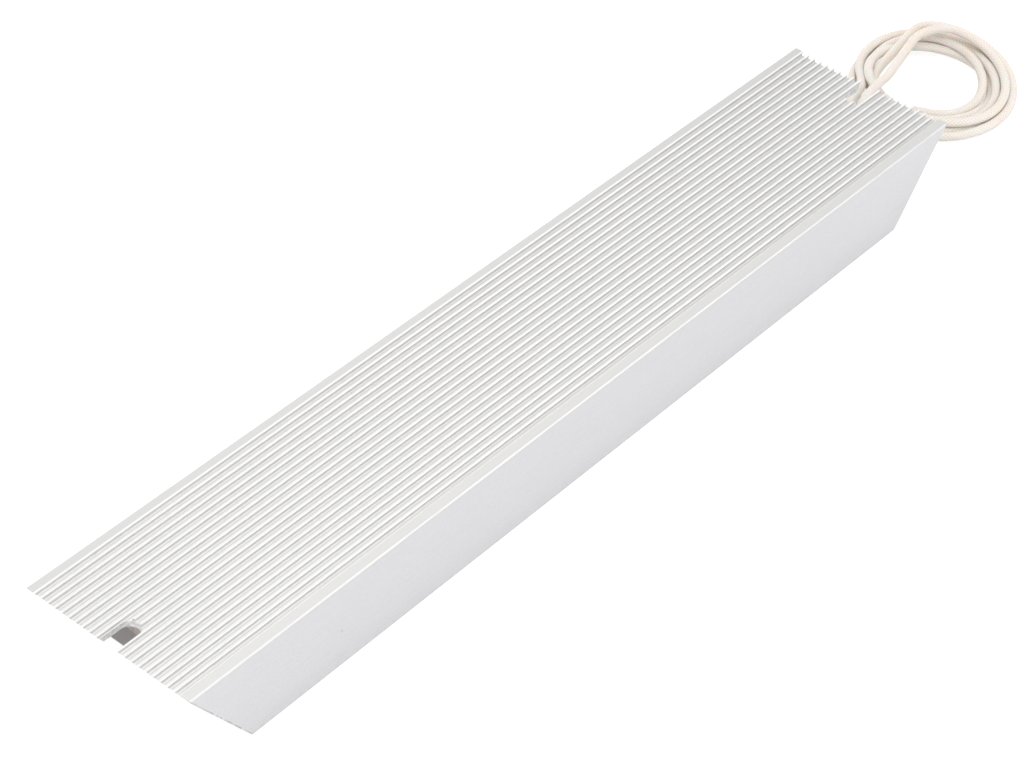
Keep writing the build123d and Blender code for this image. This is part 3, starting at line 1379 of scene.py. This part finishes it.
class Cement(Finish):
    """Rough refractory cement: pinkish grey, gritty, with pin holes and dark grains."""

    name: str = "cement"
    paste: Point = (0.62, 0.545, 0.52)
    grain: Point = (0.42, 0.36, 0.34)
    pale: Point = (0.76, 0.71, 0.68)
    roughness: float = 0.93
    lump_scale: float = 260
    lump_height: float = 0.0003
    grit_scale: float = 1500
    grit_height: float = 0.00012
    lump_share: float = 0.6
    hole_scale: float = 420
    hole_shade: float = 0.6
    hole_reach: float = 0.3
    hole_rarity: float = 4
    hole_depth: float = 0.0002

    def paint(self) -> None:
        """Lumps and grit in three shades, with pin holes."""
        lumps = self.noise(self.lump_scale, 5)
        grit = self.noise(self.grit_scale)
        hole = self.holes(self.hole_scale, self.hole_rarity, self.hole_reach)
        shade = self.both(lumps, grit, self.lump_share)
        paste = self.ramp(shade, (0.34, self.grain), (0.5, self.paste), (0.68, self.pale))
        color = self.mix(self.times(hole, self.hole_shade), paste, self.grain)
        self.drive({"Base Color": color, "Roughness": self.roughness})
        hollow = self.times(hole, -1.0)
        self.bump((lumps, self.lump_height), (grit, self.grit_height), (hollow, self.hole_depth))


class TinnedCopper(Finish):
    """Dip-tinned copper: bright, faintly wavy, with warm copper where the tin is thin."""

    name: str = "tinned_copper"
    tin: Point = (0.80, 0.80, 0.79)
    copper: Point = (0.80, 0.56, 0.42)
    roughness: tuple[float, float] = (0.2, 0.42)
    flow_scale: float = 500
    flow_height: float = 0.00006

    def paint(self) -> None:
        """A run of tin that copper shows through where it is thin."""
        flow = self.noise(self.flow_scale)
        color = self.mix(self.mask(flow, (0.6, 0), (0.78, 0.6)), self.tin, self.copper)
        self.drive({"Base Color": color, "Metallic": 1.0, "Roughness": self.span(flow, *self.roughness)})
        self.bump((flow, self.flow_height))


class MicaSheet(Finish):
    """Pressed mica: amber grey flakes that glint, laid flat on each other."""

    name: str = "pressed_mica"
    pale: Point = (0.72, 0.66, 0.52)
    dark: Point = (0.46, 0.38, 0.25)
    roughness: tuple[float, float] = (0.18, 0.5)
    coat: float = 0.3
    flake_scale: float = 260
    flake_share: float = 0.45
    flake_height: float = 0.00002
    haze_scale: float = 90

    def paint(self) -> None:
        """Flakes in two shades under a thin gloss."""
        _, (tone, _, _) = self.cells(self.flake_scale, stretch=(1, 1, 0.05))
        shade = self.both(tone, self.noise(self.haze_scale), self.flake_share)
        color = self.ramp(shade, (0.25, self.dark), (0.7, self.pale))
        gloss = self.span(tone, *self.roughness)
        self.drive({"Base Color": color, "Roughness": gloss, "Coat Weight": self.coat})
        self.bump((tone, self.flake_height))


class PressedSteel(Finish):
    """Plain steel strip with fine rolling lines and a little heat tint."""

    name: str = "pressed_steel"
    bare: Point = (0.56, 0.56, 0.555)
    tint: Point = (0.50, 0.42, 0.30)
    roughness: tuple[float, float] = (0.24, 0.46)
    rolled_scale: float = 2600
    rolled_height: float = 0.00001
    heat_scale: float = 110

    def paint(self) -> None:
        """Rolling lines and a heat tint in patches."""
        rolled = self.noise(self.rolled_scale, stretch=(1, 0.03, 1))
        heat = self.mask(self.noise(self.heat_scale, 2), (0.5, 0), (0.72, 0.7))
        color = self.mix(heat, self.bare, self.tint)
        self.drive({"Base Color": color, "Metallic": 1.0, "Roughness": self.span(rolled, *self.roughness)})
        self.bump((rolled, self.rolled_height))


class Grained(Finish):
    """A matt mineral or ceramic: two shades in fine grains, with specks of a third."""

    pale: Point
    dark: Point
    speck: Point
    grain_scale: float
    roughness: float
    relief: float
    grain_share: float = 0.6
    drift_size: float = 12
    speck_size: float = 0.7
    speck_rarity: float = 0.9
    gloss_change: float = 0.08

    def paint(self) -> None:
        """Grains in two shades that drift, with dark specks."""
        grain = self.noise(self.grain_scale, 4)
        drift = self.noise(self.grain_scale / self.drift_size, 2)
        shade = self.both(grain, drift, self.grain_share)
        body = self.ramp(shade, (0.35, self.dark), (0.62, self.pale))
        _, (_, tone, _) = self.cells(self.grain_scale * self.speck_size)
        color = self.mix(self.math("GREATER_THAN", tone, self.speck_rarity), body, self.speck)
        gloss = self.span(grain, self.roughness - self.gloss_change, self.roughness + self.gloss_change)
        self.drive({"Base Color": color, "Roughness": gloss})
        self.bump((grain, self.relief))


class QuartzSand(Grained):
    """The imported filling."""

    name: str = "quartz_sand"
    pale: Point = (0.80, 0.77, 0.70)
    dark: Point = (0.60, 0.55, 0.47)
    speck: Point = (0.38, 0.33, 0.28)
    grain_scale: float = 1400
    roughness: float = 0.9
    relief: float = 0.0002


class Steatite(Grained):
    """The locating cards."""

    name: str = "steatite"
    pale: Point = (0.86, 0.84, 0.78)
    dark: Point = (0.78, 0.75, 0.68)
    speck: Point = (0.62, 0.56, 0.48)
    grain_scale: float = 700
    roughness: float = 0.5
    relief: float = 0.00003


class FormerCeramic(Grained):
    """The formers that carry the windings."""

    name: str = "former_ceramic"
    pale: Point = (0.90, 0.88, 0.84)
    dark: Point = (0.82, 0.79, 0.74)
    speck: Point = (0.70, 0.66, 0.6)
    grain_scale: float = 500
    roughness: float = 0.65
    relief: float = 0.00004


class OxidisedWire(Finish):
    """Resistance wire with its dull, faintly green-brown oxide skin."""

    name: str = "oxidised_wire"
    dark: Point = (0.20, 0.185, 0.165)
    pale: Point = (0.40, 0.38, 0.345)
    metallic: float = 0.9
    roughness: tuple[float, float] = (0.34, 0.6)
    skin_scale: float = 900
    skin_height: float = 0.00001

    def paint(self) -> None:
        """A patchy oxide skin."""
        skin = self.noise(self.skin_scale, 4)
        color = self.ramp(skin, (0.35, self.dark), (0.68, self.pale))
        gloss = self.span(skin, *self.roughness)
        self.drive({"Base Color": color, "Metallic": self.metallic, "Roughness": gloss})
        self.bump((skin, self.skin_height))


class BraidRoot(Finish):
    """The leads' braid inside the cement, its weave drawn round a lead along X."""

    name: str = "braid_root"
    yarn: Point = (0.84, 0.77, 0.68)
    # A dark brown painted as shade between the yarns.
    gap: Point = (0.42, 0.33, 0.25)
    roughness: float = 0.8
    lean: float = 0.7
    weave_scale: float = 420
    weave_height: float = 0.00008

    def paint(self) -> None:
        """Yarns that lean both ways, with painted shade between them."""
        ways = []
        for lean in (self.lean, -self.lean):
            inputs = {"Vector": self.place((1, 0.8, 0.8), (0, 0, lean)), "Scale": self.weave_scale}
            ways.append(self.node("ShaderNodeTexWave", inputs).outputs["Fac"])
        weave = self.math("MAXIMUM", *ways)
        color = self.ramp(weave, (0.25, self.gap), (0.6, self.yarn))
        self.drive({"Base Color": color, "Roughness": self.roughness})
        self.bump((weave, self.weave_height))


# ------------------------------------------------------------------------------------------------ studio


@dataclass(frozen=True)
class Lamp:
    """A soft square lamp that faces the object. Its place and size are in metres and its power in watts."""

    name: str
    place: Point
    size: float
    power: float

    def hang(self) -> None:
        """Put the lamp into the scene."""
        light = bpy.data.lights.new(self.name, "AREA")
        light.size = self.size
        light.energy = self.power
        lamp = new_object(self.name, light)
        lamp.location = self.place
        lamp.rotation_euler = (-Vector(self.place)).to_track_quat("-Z", "Y").to_euler()


LAMPS = (
    Lamp("overhead", (-0.5, -0.1, 1.5), 1.4, 7),
    Lamp("front", (-1.2, -1.0, 0.8), 1.0, 3),
    Lamp("low_behind", (0.85, 1.15, 0.3), 0.7, 3),
    Lamp("low_right", (0.85, -0.95, 0.62), 0.6, 2),
)


@dataclass
class Studio:
    """Pale floor, soft lamps and the camera. Angles are in degrees and lengths in metres."""

    azimuth: float = -52.255
    elevation: float = 41.071
    roll: float = 3.766
    distance: float = 0.90505
    target: Point = (0.008038, 0.012142, 0.0)
    lens: float = 108.1
    sensor_width: float = 36.0
    floor_size: float = 6.0
    floor_gap: float = 0.00005
    floor_color: Point = (0.86, 0.86, 0.86)
    floor_roughness: float = 0.9
    floor_lift: float = 0.6
    gloss_lift: float = 0.03
    ambient: float = 0.84
    sky_low: float = 0.55
    sky_high: float = 1.06

    def back(self) -> Vector:
        """Unit vector from the target to the camera."""
        turn, rise = math.radians(self.azimuth), math.radians(self.elevation)
        return Vector((math.sin(turn) * math.cos(rise), -math.cos(turn) * math.cos(rise), math.sin(rise)))

    def camera(self) -> None:
        """Set the camera on its bearing, with its slight roll."""
        back = self.back()
        right = Vector((0, 0, 1)).cross(back).normalized()
        up = back.cross(right)
        roll = math.radians(self.roll)
        tilted = right * math.cos(roll) + up * math.sin(roll)
        lens = bpy.data.cameras.new("camera")
        lens.lens = self.lens
        lens.sensor_width = self.sensor_width
        eye = new_object("camera", lens)
        axes = Matrix((tilted, back.cross(tilted), back)).transposed().to_4x4()
        eye.matrix_world = Matrix.Translation(Vector(self.target) + back * self.distance) @ axes
        bpy.context.scene.camera = eye

    def seen_level(self, tree: Tree, light: float, gloss: Value, straight: float) -> Socket:
        """A surround's strength for each kind of ray.

        Args:
            tree: The tree that it stands in.
            light: For the rays that carry light.
            gloss: For those off a gloss or through glass.
            straight: For those straight to the eye.

        Returns:
            The strength.
        """
        path = tree.node("ShaderNodeLightPath").outputs
        mirrored = tree.math("MAXIMUM", path["Is Glossy Ray"], path["Is Transmission Ray"])
        return tree.span(path["Is Camera Ray"], tree.span(mirrored, light, gloss), straight)

    def world(self) -> None:
        """White to the eye, a little brighter overhead in reflections, and softer as a light."""
        world = bpy.data.worlds.new("studio")
        bpy.context.scene.world = world
        world.use_nodes = True
        tree = Tree(world.node_tree)
        _, _, up = tree.split(tree.node("ShaderNodeTexCoord").outputs["Generated"])
        level = self.seen_level(tree, self.ambient, tree.span(up, self.sky_low, self.sky_high), 1.0)
        tree.fill(world.node_tree.nodes["Background"], {"Color": (1, 1, 1, 1), "Strength": level})

    def floor(self) -> None:
        """A pale floor that stays white and keeps the object's shadow."""
        half = self.floor_size / 2
        mesh = bpy.data.meshes.new("floor")
        corners = [(-half, -half, 0), (half, -half, 0), (half, half, 0), (-half, half, 0)]
        mesh.from_pydata(corners, [], [(0, 1, 2, 3)])
        floor = new_object("floor", mesh)
        floor.location.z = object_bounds()[0][2] - self.floor_gap
        tree = ShaderTree("floor")
        tree.drive({"Base Color": (*self.floor_color, 1), "Roughness": self.floor_roughness})
        tree.drive({"Specular IOR Level": 0.0})
        level = self.seen_level(tree, 0.0, self.gloss_lift, self.floor_lift)
        glow = tree.result("ShaderNodeEmission", {"Strength": level})
        total = tree.result("ShaderNodeAddShader", {0: tree.surface.outputs[0], 1: glow})
        tree.fill(tree.tree.nodes["Material Output"], {"Surface": total})
        dress(floor, tree.material)
        floor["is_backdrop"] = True

    def build(self) -> None:
        """Set the whole studio."""
        bpy.context.scene.view_settings.view_transform = "Standard"
        self.camera()
        self.world()
        self.floor()
        for lamp in LAMPS:
            lamp.hang()


# ------------------------------------------------------------------------------------------------ assembly

# Each lead from its exit, and its bare end: control points and turns of the coil, in millimetres.
LEFT_ROUTE = [
    [(141, 5, 15), (156, 5, 15), (168, 8.6, 14.6), (178, 12.2, 12.6), (187, 15.6, 9.2)],
    LooseCoil(146, -190, [26.6, 26.1, 21.6, 26.8, 29.6], [5.3, 4.5, 4.5, 1.6, 4.9]),
    [(196, 15.6, 3.8), (203, 20.2, 5.2), (210, 21.1, 6.4)],
    [(217.5, 21.6, 7.3), (225.5, 22.6, 8.1), (233, 23.3, 8.7)],
    LooseCoil(
        38,
        -545,
        [19.5, 23.3, 29.8, 30.1, 23.5, 18.7, 24.1, 26.7],
        [12.7, 6.8, 2.3, 1.6, 2.3, 5.8, 1.7, 2.2],
    ),
]
RIGHT_ROUTE = [
    [(141, -5, 15), (155, -5, 15), (171, 5.2, 15), (182, 9, 13.9), (192, 11, 12.6)],
    [(201, 13.2, 9.8), (210, 15.5, 9.8), (219, 17.7, 10.0), (228, 19.7, 10.1)],
    LooseCoil(
        24,
        -890,
        [16.9, 20.6, 27.1, 25.3, 17.9, 17.9, 21.1, 23.5, 21.7, 15.0, 18.3, 20.9],
        [15.3, 8.5, 3.5, 7.1, 4.7, 2.4, 1.6, 1.8, 5.6, 5.8, 1.6, 2.3],
    ),
]
LEFT_END = [(191, 14, 3.0), (186.5, 18, 1.2), (184, 20, 1.0)]
RIGHT_END = [(190, -3, 1.2), (184.5, 3, 0.95), (183, 5, 0.95)]


@dataclass
class Resistor:
    """The whole resistor: what each class builds, and the frame's own parts with their finishes."""

    frame: dict
    leads: list[Lead] = field(default_factory=list)

    def lay_leads(self) -> None:
        """Lay both leads so that neither passes through the other, then weave them with their bare ends."""
        left = Lead(Side.LEFT, LEFT_ROUTE, BareEnd(Side.LEFT, LEFT_END))
        right = Lead(Side.RIGHT, RIGHT_ROUTE, BareEnd(Side.RIGHT, RIGHT_END))
        self.leads = [left, right]
        braid, strands = BraidTree(), StrandTree()
        sleeve_finish, end_finish = GlassBraid().material, TinnedCopper().material
        settled = Settling(left.diameter / 2).settle([lead.control for lead in self.leads])
        for lead, control in zip(self.leads, settled):
            lead.control = control
            lead.build(braid, sleeve_finish, strands, end_finish)

    def shape_parts(self) -> None:
        """Build the housing, the cement and the windings."""
        Housing().build(self.frame["nodes"]["housing"], Aluminium().material)
        cement = Cement().material
        exits = tuple(tuple(lead.control[0, 1:]) for lead in self.leads)
        CementSeal(End.NEAR).build(cement)
        CementSeal(End.FAR, lead_places=exits).build(cement)
        winder, wire = WindingTree(), OxidisedWire().material
        for side in Side:
            Winding(side).build(winder, wire)

    def dress_parts(self) -> None:
        """Give each of the frame's remaining parts its finish, by how its name starts."""
        steel = PressedSteel().material
        finishes = {
            "quartz_filler": QuartzSand().material,
            "insulation_sheet": MicaSheet().material,
            "locating_card": Steatite().material,
            "former": FormerCeramic().material,
            "cap": steel,
            "link_strap": steel,
            "ferrule": bpy.data.materials["tinned_copper"],
            "lead_root": BraidRoot().material,
        }
        for name, node in self.frame["nodes"].items():
            for start, finish in finishes.items():
                if name.startswith(start):
                    dress(node, finish)
                    LOG.info("%s: %s", name, finish.name)


def main() -> None:
    """Load the frame and build each piece in turn."""
    logging.basicConfig(level=logging.INFO, format="%(name)s: %(message)s")
    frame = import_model()
    Studio().build()
    resistor = Resistor(frame)
    resistor.lay_leads()
    resistor.shape_parts()
    resistor.dress_parts()


if __name__ == "__main__":
    main()
